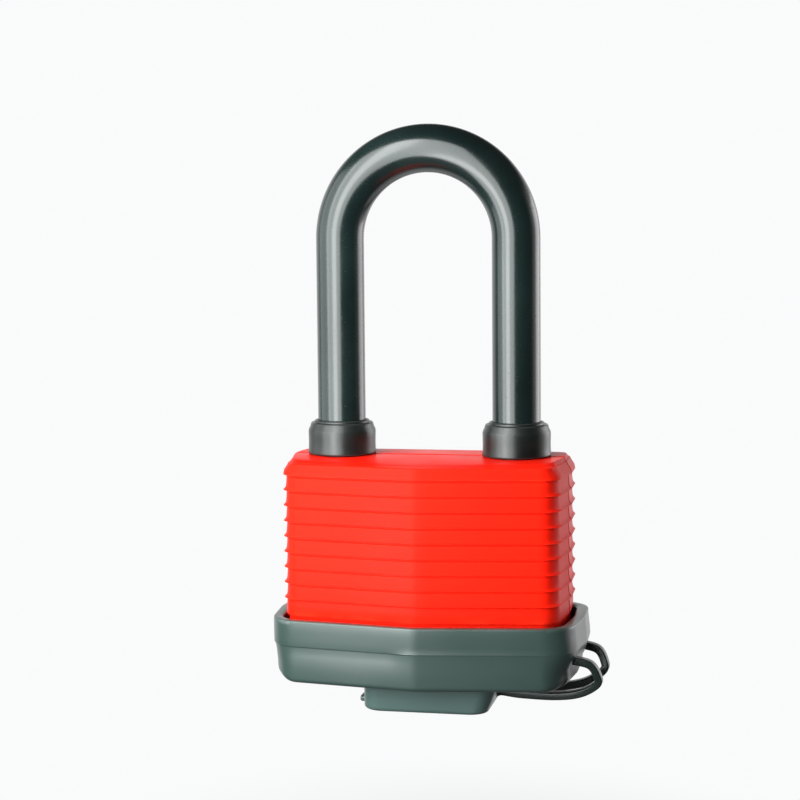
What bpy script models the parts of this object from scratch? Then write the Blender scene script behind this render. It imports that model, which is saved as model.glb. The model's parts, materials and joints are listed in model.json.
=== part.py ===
"""Weatherproof laminated padlock, in metres, +Z up.

The origin is on the underside of the keyway cover, below the axis of the plug. The front of the lock
faces -Y. The heel leg of the shackle, which never leaves the body, is at -X and the toe leg is at +X.
The lock is stored closed, with both latches drawn in (unlocked).
"""

import math

import bmesh
import bpy
from mathutils import Matrix, Vector

MM = 0.001
GAP = 0.3  # clearance between touching pieces; every size below is in millimetres

# Jacket, in plan: a shallow V front and back, rounded corners and slightly tapered ends
HALF_WIDTH = 27.0
HALF_DEPTH = 14.8
FACET_SETBACK = 3.8  # how far the front facets fall back from the crease to the corner
CORNER_X = 25.9
REAR_CORNER_X = 26.6
CORNER_RADIUS = 4.2
CORNER_STEPS = 4
JACKET_WALL = 1.4

# Heights
COVER_HEIGHT = 5.6
BUMPER_FLOOR = 2.0
BUMPER_TOP = 17.4
JACKET_EDGE_TOP = 46.4
JACKET_CROWN = 47.2
FIRST_RIDGE = 44.1
RIDGE_PITCH = 2.9
RIDGE_COUNT = 9
SCALLOP_DEPTH = 0.6
SCALLOP_RISE = 1.6  # height of the flare that leads up to each ridge
RIDGE_LIP = 0.35
TOP_ROUNDING = 1.6

# Bumper: the outside as (height, offset from the jacket's outline), bottom to top
BUMPER_PROFILE = (
    (COVER_HEIGHT, -0.6),
    (COVER_HEIGHT + 0.7, 0.7),
    (COVER_HEIGHT + 2.2, 1.4),
    (BUMPER_TOP - 5.2, 1.75),
    (BUMPER_TOP - 4.9, 2.0),
    (BUMPER_TOP - 2.0, 2.2),
    (BUMPER_TOP - 0.4, 1.8),
    (BUMPER_TOP, 1.5),
)
KEYWAY_OPENING_RADIUS = 6.6

# Steel body: a stack of plates, one to each rib
PLATE_COUNT = 13
PLATE_THICKNESS = RIDGE_PITCH - GAP
STACK_BOTTOM = COVER_HEIGHT + BUMPER_FLOOR + GAP
STACK_TOP = STACK_BOTTOM + (PLATE_COUNT - 1) * RIDGE_PITCH + PLATE_THICKNESS
PLATE_INSET = JACKET_WALL + GAP
RIVET_RADIUS = 1.5
RIVET_SPOTS = ((-20.6, -7.2), (20.6, -7.2), (-20.6, 7.2), (20.6, 7.2))

# Shackle
ROD_RADIUS = 4.5
LEG_X = 16.7
BOW_CENTRE_Z = 87.7
BOW_STEPS = 20
LIFT = 19.6
TOE_END_Z = 34.4
NOTCH_DEPTH = 2.0
LEG_CHAMFER = 0.8
HEEL_BELOW_GROOVE = 2.3
LEG_BORE_RADIUS = ROD_RADIUS + 0.5
FIRST_HEEL_PLATE = 1  # the lowest plate that the heel leg's bore goes through
FIRST_TOE_PLATE = 9

# Collars round the shackle's legs
COLLAR_RADIUS = 6.45
COLLAR_NECK_RADIUS = 5.3
COLLAR_BOTTOM = 47.5
COLLAR_TOP = 53.4
COLLAR_CHAMFER = 0.6
COLLAR_CHAMFER_HEIGHT = 1.6
COLLAR_LIP_HEIGHT = 0.3

# Lock cylinder: the plug turns about Z, and the pins lie along +X in the tower
PLUG_RADIUS = 5.3
PLUG_BORE_RADIUS = PLUG_RADIUS + GAP
PLUG_BOTTOM = 8.2
PLUG_TOP = 30.6
HOUSING_RADIUS = 7.6
HOUSING_BOTTOM = 10.8
HOUSING_TOP = 27.9
TOWER_END = 13.4
TOWER_HALF_WIDTH = 3.2
PIN_COUNT = 4
FIRST_PIN_Z = 13.6
PIN_PITCH = 3.6
PIN_RADIUS = 1.2
CHAMBER_RADIUS = 1.5
PLUG_HOLE_START = 0.4
PLUG_PIN_TIP = 2.3
BITTING_STEP = 0.25
STEM_RADIUS = 3.2
STEM_BORE_RADIUS = 4.0
CLIP_BORE_RADIUS = 7.4
CLIP_GROOVE_RADIUS = 4.4
CLIP_GROOVE = (HOUSING_TOP + 0.3, HOUSING_TOP + 1.7)
KEYWAY_HALF_WIDTH = 0.9
DRIVER_PIN_LENGTH = 2.8
CAP_THICKNESS = 0.8
CAP_HALF_WIDTH = 2.0
CAP_OVERHANG = 2.2  # how far the cap's groove runs past the first and last pins

# Springs
SHACKLE_SPRING_RADIUS = 3.4
SHACKLE_SPRING_WIRE = 0.45
PIN_SPRING_RADIUS = 0.95
PIN_SPRING_WIRE = 0.18

# Latches and the cam that drives them
LATCH_PLATES = (10, 11)
LATCH_STROKE = 2.0
LATCH_HALF_WIDTH = 4.2
LATCH_TIP = LEG_X - ROD_RADIUS - GAP
LATCH_NOSE_RADIUS = 1.2
CAM_MIN_RADIUS = 3.2
CAM_BORE_RADIUS = 5.6

# Keyway cover and its strap
COVER_LEFT = -11.2
COVER_RIGHT = 14.4
COVER_HALF_DEPTH = 10.4
COVER_CORNER = 3.2
COVER_SIDE_DRAFT = 0.4
COVER_RAKE = 2.1  # how far the strap end leans in from its top edge to its foot
COVER_FOOT_RADIUS = 0.9
COVER_PLUG_RADIUS = 4.6
NIB_REACH = 1.3
NIB_RANGE = (0.6, 2.0)
STRAP_HALF_WIDTH = 1.1
STRAP_THICKNESS = 1.4
STRAP_PATH = (
    (COVER_RIGHT - 0.1, 3.4, 3.3),
    (18.5, 3.5, 3.0),
    (24.6, 3.8, 3.0),
    (29.2, 4.6, 3.9),
    (32.4, 5.7, 6.0),
    (32.5, 6.2, 7.8),
    (31.2, 6.6, 9.7),
    (28.7, 6.8, 10.4),
)
HINGE = STRAP_PATH[4]

COLOURS = {
    "red_plastic": ((0.90, 0.045, 0.012), 0.22, 0.0),
    "black_plastic": ((0.035, 0.05, 0.047), 0.45, 0.0),
    "black_steel": ((0.02, 0.025, 0.024), 0.18, 0.0),
    "black_rubber": ((0.018, 0.02, 0.02), 0.55, 0.0),
    "plated_steel": ((0.62, 0.62, 0.60), 0.30, 1.0),
    "bright_steel": ((0.55, 0.56, 0.57), 0.35, 1.0),
    "brass": ((0.78, 0.57, 0.26), 0.30, 1.0),
    "spring_steel": ((0.50, 0.51, 0.53), 0.28, 1.0),
}


def clear_scene():
    for item in list(bpy.data.objects):
        bpy.data.objects.remove(item, do_unlink=True)


def make_collection(name):
    collection = bpy.data.collections.new(name)
    bpy.context.scene.collection.children.link(collection)
    return collection


def make_materials():
    materials = {}
    for name, (colour, roughness, metallic) in COLOURS.items():
        material = bpy.data.materials.new(name)
        material.use_nodes = True
        shader = material.node_tree.nodes["Principled BSDF"]
        shader.inputs["Base Color"].default_value = (*colour, 1.0)
        shader.inputs["Roughness"].default_value = roughness
        shader.inputs["Metallic"].default_value = metallic
        materials[name] = material
    return materials


clear_scene()
PARTS = make_collection("padlock")
CUTTERS = make_collection("cutters")
MATERIALS = make_materials()


def add_object(name, data, material=None):
    """Links a mesh or curve given in metres; without a material it is a cutter."""
    item = bpy.data.objects.new(name, data)
    if material:
        PARTS.objects.link(item)
        data.materials.append(MATERIALS[material])
    else:
        CUTTERS.objects.link(item)
        item.hide_render = True
        item.display_type = "WIRE"
    return item


def shade_round(item, angle=35.0):
    item.data.shade_smooth()
    item.data.set_sharp_from_angle(angle=math.radians(angle))


def set_origin(item, point):
    """Moves an object's origin to a point given in millimetres, leaving its shape in place."""
    shift = Vector(point) * MM
    item.data.transform(Matrix.Translation(-shift))
    item.location = shift


def cut(item, cutter, operation="DIFFERENCE"):
    modifier = item.modifiers.new(cutter.name, "BOOLEAN")
    modifier.operation = operation
    modifier.solver = "EXACT"
    modifier.object = cutter


def arc(centre, radius, start, end, steps):
    """Points round a centre from one angle to another, in degrees, both ends included."""
    points = []
    for step in range(steps + 1):
        angle = math.radians(start + (end - start) * step / steps)
        points.append((centre[0] + radius * math.cos(angle), centre[1] + radius * math.sin(angle)))
    return points


def circle(centre, radius, sides):
    return arc(centre, radius, 0.0, 360.0, sides)[:-1]


def mirror_x(points):
    return [(-x, y) for x, y in reversed(points)]


def jacket_corner(side):
    """The rounded corner at +X: side is -1 for the front and 1 for the rear. Front to end order."""
    corner_x = CORNER_X if side < 0 else REAR_CORNER_X
    corner_y = HALF_DEPTH - FACET_SETBACK
    facet_angle = math.degrees(math.atan2(FACET_SETBACK, corner_x))
    taper_angle = math.degrees(math.atan2(HALF_WIDTH - corner_x, corner_y))
    start = 90.0 - facet_angle
    end = taper_angle
    bisector = math.radians((start + end) / 2)
    reach = CORNER_RADIUS / math.cos(math.radians((start - end) / 2))
    centre = (corner_x - reach * math.cos(bisector), corner_y - reach * math.sin(bisector))
    points = []
    for step in range(CORNER_STEPS + 1):
        angle = math.radians(start + (end - start) * step / CORNER_STEPS)
        normal = (math.cos(angle), side * math.sin(angle))
        place = (centre[0] + CORNER_RADIUS * normal[0], side * centre[1] + CORNER_RADIUS * normal[1])
        points.append((place, normal))
    return points


def jacket_plan():
    """The jacket's outline as (point, outward normal) pairs, counter-clockwise from the front crease."""
    front = jacket_corner(-1)
    rear = jacket_corner(1)
    right = front + [((HALF_WIDTH, 0.0), (1.0, 0.0))] + rear[::-1]
    left = [((-x, y), (-nx, ny)) for (x, y), (nx, ny) in reversed(right)]
    crease_front = [((0.0, -HALF_DEPTH), (0.0, -1.0))]
    crease_rear = [((0.0, HALF_DEPTH), (0.0, 1.0))]
    return crease_front + right + crease_rear + left


def offset_plan(offset):
    """The jacket's outline moved outwards by an offset."""
    return [(x + nx * offset, y + ny * offset) for (x, y), (nx, ny) in jacket_plan()]


def ring_body(name, rings, material=None):
    """A closed body through a stack of equal-sized rings of 3-D points, with flat ends."""
    body = bmesh.new()
    loops = [[body.verts.new(Vector(point) * MM) for point in ring] for ring in rings]
    count = len(loops[0])
    for lower, upper in zip(loops, loops[1:]):
        for index in range(count):
            follower = (index + 1) % count
            body.faces.new((lower[index], lower[follower], upper[follower], upper[index]))
    body.faces.new(list(reversed(loops[0])))
    body.faces.new(loops[-1])
    mesh = bpy.data.meshes.new(name)
    body.to_mesh(mesh)
    body.free()
    return add_object(name, mesh, material)


def turned(name, profile, centre, material=None, sides=24):
    """A turned body from a closed (radius, z) profile that runs down its outer side."""
    mesh = bpy.data.meshes.new(name)
    points = [(radius * MM, 0.0, z * MM) for radius, z in profile]
    count = len(points)
    mesh.from_pydata(points, [(index, (index + 1) % count) for index in range(count)], [])
    item = add_object(name, mesh, material)
    item.location = (centre[0] * MM, centre[1] * MM, 0.0)
    screw = item.modifiers.new("turn", "SCREW")
    screw.steps = sides
    screw.render_steps = sides
    screw.use_merge_vertices = True
    screw.merge_threshold = 0.00001
    return item


def cylinder(name, radius, start, end, material=None, sides=24):
    """A cylinder from one centre point to another."""
    begin = Vector(start)
    axis = Vector(end) - begin
    body = bmesh.new()
    bmesh.ops.create_cone(
        body,
        cap_ends=True,
        segments=sides,
        radius1=radius * MM,
        radius2=radius * MM,
        depth=axis.length * MM,
    )
    turn = axis.to_track_quat("Z", "Y").to_matrix().to_4x4()
    bmesh.ops.transform(body, matrix=turn, verts=body.verts)
    mesh = bpy.data.meshes.new(name)
    body.to_mesh(mesh)
    body.free()
    item = add_object(name, mesh, material)
    item.location = (begin + axis / 2) * MM
    return item


def box(name, low, high, material=None):
    """A box between two opposite corners."""
    body = bmesh.new()
    bmesh.ops.create_cube(body, size=1.0)
    size = [(b - a) * MM for a, b in zip(low, high)]
    middle = [(a + b) / 2 * MM for a, b in zip(low, high)]
    bmesh.ops.scale(body, vec=size, verts=body.verts)
    bmesh.ops.translate(body, vec=middle, verts=body.verts)
    mesh = bpy.data.meshes.new(name)
    body.to_mesh(mesh)
    body.free()
    return add_object(name, mesh, material)


def prism(name, loops, bottom, top, material=None):
    """A flat piece from an outline and its holes, as an extruded 2-D curve made into a mesh."""
    curve = bpy.data.curves.new(name, "CURVE")
    curve.dimensions = "2D"
    curve.fill_mode = "BOTH"
    curve.extrude = (top - bottom) / 2 * MM
    for loop in loops:
        spline = curve.splines.new("POLY")
        spline.points.add(len(loop) - 1)
        for point, (x, y) in zip(spline.points, loop):
            point.co = (x * MM, y * MM, 0.0, 1.0)
        spline.use_cyclic_u = True
    item = add_object(name, curve, material)
    item.location = (0.0, 0.0, (bottom + top) / 2 * MM)
    return curve_to_mesh(item)


def tube(name, points, radius, resolution, material=None, end_scale=1.0):
    """A round bar along a poly line; end_scale narrows its two end points."""
    curve = bpy.data.curves.new(name, "CURVE")
    curve.dimensions = "3D"
    curve.bevel_depth = radius * MM
    curve.bevel_resolution = resolution
    curve.use_fill_caps = True
    spline = curve.splines.new("POLY")
    spline.points.add(len(points) - 1)
    for point, place in zip(spline.points, points):
        point.co = (*(Vector(place) * MM), 1.0)
    spline.points[0].radius = end_scale
    spline.points[-1].radius = end_scale
    return curve_to_mesh(add_object(name, curve, material))


def curve_to_mesh(item):
    """Replaces a curve object by a mesh object of the same name with its caps welded on."""
    bpy.context.view_layer.update()
    evaluated = item.evaluated_get(bpy.context.evaluated_depsgraph_get())
    mesh = bpy.data.meshes.new_from_object(evaluated)
    body = bmesh.new()
    body.from_mesh(mesh)
    bmesh.ops.remove_doubles(body, verts=body.verts, dist=0.000001)
    body.to_mesh(mesh)
    body.free()
    name = item.name
    place = item.matrix_world.copy()
    home = item.users_collection[0]
    curve = item.data
    bpy.data.objects.remove(item, do_unlink=True)
    bpy.data.curves.remove(curve)
    solid = bpy.data.objects.new(name, mesh)
    home.objects.link(solid)
    solid.matrix_world = place
    if home is CUTTERS:
        solid.hide_render = True
        solid.display_type = "WIRE"
    return solid


def plate_bottom(index):
    return STACK_BOTTOM + index * RIDGE_PITCH


# ---------------------------------------------------------------- jacket, bumper, cover


def jacket_levels():
    """(height, offset) of each ring of the jacket's outside, bottom to top.

    Below each sharp ridge the wall steps in and then flares out again to the next ridge.
    """
    levels = [(STACK_BOTTOM, -0.2)]
    for index in reversed(range(RIDGE_COUNT)):
        ridge = FIRST_RIDGE - index * RIDGE_PITCH
        if index < RIDGE_COUNT - 1:
            levels.append((ridge - SCALLOP_RISE, -SCALLOP_DEPTH * 0.85))
        levels.append((ridge - RIDGE_LIP, -SCALLOP_DEPTH))
        levels.append((ridge, 0.0))
    levels.append((FIRST_RIDGE + 1.1, -0.25))
    levels.append((JACKET_EDGE_TOP - 0.35, -0.75))
    return levels


def crown_height(y):
    """Height of the jacket's top, which falls gently from the parting line to the front and rear."""
    return JACKET_CROWN - (JACKET_CROWN - JACKET_EDGE_TOP) * min(1.0, abs(y) / (HALF_DEPTH - TOP_ROUNDING))


def jacket_outside():
    rings = [[(x, y, z) for x, y in offset_plan(offset)] for z, offset in jacket_levels()]
    rim = offset_plan(-TOP_ROUNDING)
    rings.append([(x, y, crown_height(y)) for x, y in rim])
    return rings


def make_jacket_half(name, side):
    shell = ring_body(name, jacket_outside(), "red_plastic")
    inner = offset_plan(-JACKET_WALL)
    cavity_rings = [[(x, y, z) for x, y in inner] for z in (COVER_HEIGHT, STACK_TOP + GAP)]
    cut(shell, ring_body(name + "_cavity", cavity_rings))
    for leg in (-LEG_X, LEG_X):
        bore = cylinder(
            f"{name}_bore_{'left' if leg < 0 else 'right'}",
            COLLAR_NECK_RADIUS + GAP,
            (leg, 0.0, STACK_TOP - 2.0),
            (leg, 0.0, JACKET_CROWN + 4.0),
        )
        cut(shell, bore)
    near = side * GAP / 2
    far = -side * (HALF_DEPTH + 10.0)
    low_y, high_y = min(near, far), max(near, far)
    reach = HALF_WIDTH + 10.0
    other_half = box(name + "_other_half", (-reach, low_y, 0.0), (reach, high_y, JACKET_CROWN + 10.0))
    cut(shell, other_half)
    return shell


def make_jacket():
    make_jacket_half("front_jacket", -1)
    make_jacket_half("rear_jacket", 1)


def make_bumper():
    """The moulded boot round the foot of the jacket, with the keyway opening in its floor."""
    rings = [[(x, y, z) for x, y in offset_plan(offset)] for z, offset in BUMPER_PROFILE]
    bumper = ring_body("base_bumper", rings, "black_plastic")
    inner = offset_plan(GAP)
    floor = COVER_HEIGHT + BUMPER_FLOOR
    cavity = ring_body("bumper_cavity", [[(x, y, z) for x, y in inner] for z in (floor, BUMPER_TOP + 5.0)])
    cut(bumper, cavity)
    opening = cylinder("keyway_opening", KEYWAY_OPENING_RADIUS, (0.0, 0.0, 0.0), (0.0, 0.0, floor + 3.0))
    cut(bumper, opening)


def cover_ring(foot, z):
    """A rounded rectangle at one height of the cover; foot is how far the foot radius pulls it in there."""
    share = 1.0 - z / (COVER_HEIGHT - GAP)
    inset = foot + COVER_SIDE_DRAFT * share
    left = COVER_LEFT + foot
    right = COVER_RIGHT - foot - COVER_RAKE * share
    deep = COVER_HALF_DEPTH - inset
    radius = COVER_CORNER
    corners = (
        ((right - radius, -deep + radius), -90.0),
        ((right - radius, deep - radius), 0.0),
        ((left + radius, deep - radius), 90.0),
        ((left + radius, -deep + radius), 180.0),
    )
    points = []
    for centre, start in corners:
        points += arc(centre, radius, start, start + 90.0, 4)
    return [(x, y, z) for x, y in points]


def make_cover():
    """The keyway cover: a cap with a lift nib on its left side and a plug for the opening."""
    top = COVER_HEIGHT - GAP
    foot = COVER_FOOT_RADIUS
    rings = [
        cover_ring(foot, 0.0),
        cover_ring(foot * 0.3, foot * 0.3),
        cover_ring(0.0, foot),
        cover_ring(0.0, top),
    ]
    cover = ring_body("keyway_cover", rings, "black_plastic")
    plug = cylinder("cover_plug", COVER_PLUG_RADIUS, (0.0, 0.0, top - 1.0), (0.0, 0.0, COVER_HEIGHT + 1.6))
    cut(cover, plug, "UNION")
    nib = box("cover_nib", (COVER_LEFT - NIB_REACH, -5.6, NIB_RANGE[0]), (COVER_LEFT + 2.0, 1.6, NIB_RANGE[1]))
    cut(cover, nib, "UNION")
    set_origin(cover, (HINGE[0], 0.0, HINGE[2]))


def smooth_path(points, steps):
    """Points along a smooth curve through the given ones."""
    padded = [points[0], *points, points[-1]]
    result = []
    for index in range(1, len(padded) - 2):
        a, b, c, d = (Vector(p) for p in padded[index - 1 : index + 3])
        for step in range(steps):
            t = step / steps
            place = (2 * b + (c - a) * t + (2 * a - 5 * b + 4 * c - d) * t * t
                     + (3 * b - a - 3 * c + d) * t * t * t) / 2
            result.append(place)
    return result + [Vector(points[-1])]


def make_strap(name, side):
    """One strand of the cover's strap: a flat band that loops from the cover round to the bumper."""
    path = smooth_path(STRAP_PATH, 3)
    path[0].x = COVER_RIGHT + GAP
    rings = []
    for index, place in enumerate(path):
        along = path[min(index + 1, len(path) - 1)] - path[max(index - 1, 0)]
        across = Vector((-along.z, 0.0, along.x)).normalized() * STRAP_THICKNESS / 2
        inner, outer = place + across, place - across
        front = side * place.y - STRAP_HALF_WIDTH
        rear = side * place.y + STRAP_HALF_WIDTH
        rings.append(
            [
                (inner.x, front, inner.z),
                (outer.x, front, outer.z),
                (outer.x, rear, outer.z),
                (inner.x, rear, inner.z),
            ]
        )
    ring_body(name, rings, "black_plastic")


# ---------------------------------------------------------------- steel body


def slot_with_circles():
    """The latch pocket: leg bores and the cam's bore joined by a straight slot."""
    half = LATCH_HALF_WIDTH + 0.4
    cam_angle = math.degrees(math.asin(half / CAM_BORE_RADIUS))
    leg_angle = 180.0 - math.degrees(math.asin(half / LEG_BORE_RADIUS))
    right = arc((0.0, 0.0), CAM_BORE_RADIUS, -90.0, -cam_angle, 3)
    right += arc((LEG_X, 0.0), LEG_BORE_RADIUS, -leg_angle, leg_angle, 9)
    right += arc((0.0, 0.0), CAM_BORE_RADIUS, cam_angle, 90.0, 3)
    return right + [(-x, -y) for x, y in right[1:-1]]


def housing_slot():
    """The cylinder housing's outline grown by the gap, as cut through the lower plates."""
    return keyhole(HOUSING_RADIUS + GAP, TOWER_HALF_WIDTH + GAP, TOWER_END + GAP)


def keyhole(radius, half_width, reach):
    """A circle with a straight-sided tower towards +X."""
    angle = math.degrees(math.asin(half_width / radius))
    return arc((0.0, 0.0), radius, angle, 360.0 - angle, 12) + [(reach, -half_width), (reach, half_width)]


def make_plates():
    outline = offset_plan(-PLATE_INSET)
    for index in range(PLATE_COUNT):
        holes = [circle(spot, RIVET_RADIUS + GAP, 8) for spot in RIVET_SPOTS]
        if index in LATCH_PLATES:
            holes.append(slot_with_circles())
        else:
            if index >= FIRST_HEEL_PLATE:
                holes.append(circle((-LEG_X, 0.0), LEG_BORE_RADIUS, 14))
            if index >= FIRST_TOE_PLATE:
                holes.append(circle((LEG_X, 0.0), LEG_BORE_RADIUS, 14))
        bottom = plate_bottom(index)
        if index == 0:
            holes.append(circle((0.0, 0.0), PLUG_BORE_RADIUS, 14))
        elif bottom < HOUSING_TOP:
            holes.append(housing_slot())
        elif bottom < PLUG_TOP:
            holes.append(circle((0.0, 0.0), CLIP_BORE_RADIUS, 14))
        elif index < LATCH_PLATES[0]:
            holes.append(circle((0.0, 0.0), STEM_BORE_RADIUS, 14))
        top = bottom + PLATE_THICKNESS
        prism(f"body_plate_{index + 1:02d}", [outline, *holes], bottom, top, "plated_steel")


def make_rivets():
    for index, (x, y) in enumerate(RIVET_SPOTS):
        start = (x, y, STACK_BOTTOM)
        end = (x, y, STACK_TOP)
        cylinder(f"body_rivet_{index + 1}", RIVET_RADIUS, start, end, "bright_steel", sides=8)


# ---------------------------------------------------------------- shackle and collars


def notch_range():
    """Bottom and top of the shackle's notches: the latch pocket with a little clearance."""
    bottom = plate_bottom(LATCH_PLATES[0])
    top = plate_bottom(LATCH_PLATES[-1]) + PLATE_THICKNESS
    return bottom - 0.4, top + 0.4


def make_shackle():
    """The U of round bar. Each leg is notched for its latch, and the heel leg has a lower groove, which the
    latch meets when the shackle is fully raised."""
    notch_bottom, notch_top = notch_range()
    heel_end = notch_bottom - LIFT - HEEL_BELOW_GROOVE
    bow = arc((0.0, BOW_CENTRE_Z), LEG_X, 180.0, 0.0, BOW_STEPS)
    path = [(-LEG_X, 0.0, heel_end), (-LEG_X, 0.0, heel_end + LEG_CHAMFER)]
    path += [(x, 0.0, z) for x, z in bow]
    path += [(LEG_X, 0.0, TOE_END_Z + LEG_CHAMFER), (LEG_X, 0.0, TOE_END_Z)]
    shackle = tube("shackle", path, ROD_RADIUS, 8, "black_steel", end_scale=0.84)
    inner = LEG_X - ROD_RADIUS + NOTCH_DEPTH
    for side in (-1, 1):
        near, far = sorted((side * (LEG_X - ROD_RADIUS - 2.0), side * inner))
        name = "heel_notch" if side < 0 else "toe_notch"
        cut(shackle, box(name, (near, -ROD_RADIUS - 2.0, notch_bottom), (far, ROD_RADIUS + 2.0, notch_top)))
    core = ROD_RADIUS - NOTCH_DEPTH
    wide = ROD_RADIUS + 2.0
    low, high = notch_bottom - LIFT, notch_top - LIFT
    groove = turned("heel_groove", [(wide, high), (wide, low), (core, low), (core, high)], (-LEG_X, 0.0))
    cut(shackle, groove)
    shade_round(shackle)


def make_collar(name, x):
    """A rubber seal: a neck in the jacket's hole and a chamfered flange with a thin lip round the leg."""
    bore = ROD_RADIUS + GAP
    profile = [
        (bore, COLLAR_TOP + COLLAR_LIP_HEIGHT),
        (bore + 0.4, COLLAR_TOP + COLLAR_LIP_HEIGHT),
        (bore + 0.6, COLLAR_TOP),
        (COLLAR_RADIUS - COLLAR_CHAMFER, COLLAR_TOP),
        (COLLAR_RADIUS, COLLAR_TOP - COLLAR_CHAMFER_HEIGHT),
        (COLLAR_RADIUS, COLLAR_BOTTOM),
        (COLLAR_NECK_RADIUS, COLLAR_BOTTOM),
        (COLLAR_NECK_RADIUS, STACK_TOP + GAP),
        (bore, STACK_TOP + GAP),
    ]
    collar = turned(name, profile, (x, 0.0), "black_rubber")
    shade_round(collar)


def helix(centre, radius, start, end, turns, steps):
    """Points of a coil along an axis from start to end, which must be parallel to X or Z."""
    axis_x = start[0] != end[0]
    points = []
    count = int(turns * steps)
    for step in range(count + 1):
        angle = 2 * math.pi * step / steps
        share = step / count
        along = [a + (b - a) * share for a, b in zip(start, end)]
        first, second = radius * math.cos(angle), radius * math.sin(angle)
        if axis_x:
            points.append((along[0], centre[0] + first, centre[1] + second))
        else:
            points.append((centre[0] + first, centre[1] + second, along[2]))
    return points


def make_shackle_spring():
    wire = SHACKLE_SPRING_WIRE
    bottom = plate_bottom(FIRST_HEEL_PLATE) + wire
    top = notch_range()[0] - LIFT - HEEL_BELOW_GROOVE - GAP - wire
    path = helix((-LEG_X, 0.0), SHACKLE_SPRING_RADIUS, (0.0, 0.0, bottom), (0.0, 0.0, top), 3, 12)
    tube("shackle_spring", path, wire, 2, "spring_steel")


# ---------------------------------------------------------------- lock cylinder


def pin_heights():
    return [FIRST_PIN_Z + index * PIN_PITCH for index in range(PIN_COUNT)]


def make_housing():
    """The fixed brass cylinder with its pin tower, chambers and the groove for the chamber cap."""
    loops = [keyhole(HOUSING_RADIUS, TOWER_HALF_WIDTH, TOWER_END), circle((0.0, 0.0), PLUG_BORE_RADIUS, 24)]
    housing = prism("cylinder_housing", loops, HOUSING_BOTTOM, HOUSING_TOP, "brass")
    for index, z in enumerate(pin_heights()):
        start = (2.0, 0.0, z)
        end = (TOWER_END + 2.0, 0.0, z)
        cut(housing, cylinder(f"chamber_{index + 1}", CHAMBER_RADIUS, start, end, sides=12))
    bottom = FIRST_PIN_Z - CAP_OVERHANG
    top = pin_heights()[-1] + CAP_OVERHANG
    groove_start = (TOWER_END - CAP_THICKNESS - GAP, -CAP_HALF_WIDTH, bottom)
    cut(housing, box("cap_groove", groove_start, (TOWER_END + 1.0, CAP_HALF_WIDTH, top)))
    cap_start = (TOWER_END - CAP_THICKNESS, -CAP_HALF_WIDTH + GAP, bottom + GAP)
    box("chamber_cap", cap_start, (TOWER_END, CAP_HALF_WIDTH - GAP, top - GAP), "brass")


def make_plug():
    """The turning plug: a keyway from its face, four pin holes, a clip groove and a slot for the cam."""
    profile = [
        (0.0, PLUG_TOP),
        (PLUG_RADIUS, PLUG_TOP),
        (PLUG_RADIUS, CLIP_GROOVE[1]),
        (CLIP_GROOVE_RADIUS, CLIP_GROOVE[1]),
        (CLIP_GROOVE_RADIUS, CLIP_GROOVE[0]),
        (PLUG_RADIUS, CLIP_GROOVE[0]),
        (PLUG_RADIUS, PLUG_BOTTOM),
        (0.0, PLUG_BOTTOM),
    ]
    plug = turned("cylinder_plug", profile, (0.0, 0.0), "brass")
    keyway_top = pin_heights()[-1] + 2.4
    keyway_low = (-3.4, -KEYWAY_HALF_WIDTH, PLUG_BOTTOM - 2.0)
    cut(plug, box("keyway", keyway_low, (3.2, KEYWAY_HALF_WIDTH, keyway_top)))
    for index, z in enumerate(pin_heights()):
        start = (PLUG_HOLE_START, 0.0, z)
        end = (PLUG_RADIUS + 2.0, 0.0, z)
        cut(plug, cylinder(f"plug_hole_{index + 1}", CHAMBER_RADIUS, start, end, sides=12))
    cut(plug, box("cam_slot", (-7.0, -1.1, PLUG_TOP - 1.3), (7.0, 1.1, PLUG_TOP + 2.0)))
    shade_round(plug)


def make_plug_pin(name, tip, z):
    """A pin with a cone-shaped tip towards the keyway, turned about Z and then laid along +X."""
    end = PLUG_RADIUS - GAP
    profile = [(0.0, end), (PIN_RADIUS, end), (PIN_RADIUS, tip + 0.7), (0.5, tip), (0.0, tip)]
    pin = turned(name, profile, (0.0, 0.0), "brass", sides=12)
    pin.matrix_world = Matrix.Translation((0.0, 0.0, z * MM)) @ Matrix.Rotation(math.radians(90.0), 4, "Y")
    shade_round(pin)


def make_pins():
    """Pin stacks with each plug pin and driver pin meeting at the edge of the plug."""
    driver_start = PLUG_BORE_RADIUS + 0.05
    driver_end = driver_start + DRIVER_PIN_LENGTH
    wire = PIN_SPRING_WIRE
    coil_start = driver_end + GAP + wire
    coil_end = TOWER_END - CAP_THICKNESS - GAP - 0.05 - wire
    for index, z in enumerate(pin_heights()):
        number = index + 1
        make_plug_pin(f"plug_pin_{number}", PLUG_PIN_TIP - BITTING_STEP * (index % 3), z)
        start = (driver_start, 0.0, z)
        end = (driver_end, 0.0, z)
        driver = cylinder(f"driver_pin_{number}", PIN_RADIUS, start, end, "bright_steel", sides=12)
        shade_round(driver)
        coil = helix((0.0, z), PIN_SPRING_RADIUS, (coil_start, 0.0, 0.0), (coil_end, 0.0, 0.0), 4, 8)
        tube(f"pin_spring_{number}", coil, wire, 1, "spring_steel")


def make_clip():
    """The retaining clip: an open ring in the plug's groove, just above the housing."""
    outer = arc((0.0, 0.0), CLIP_BORE_RADIUS - 0.5, 35.0, 325.0, 14)
    inner = arc((0.0, 0.0), CLIP_GROOVE_RADIUS + GAP, 325.0, 35.0, 12)
    prism("plug_clip", [outer + inner], CLIP_GROOVE[0] + GAP, CLIP_GROOVE[1] - GAP, "spring_steel")


# ---------------------------------------------------------------- cam and latches


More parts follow.
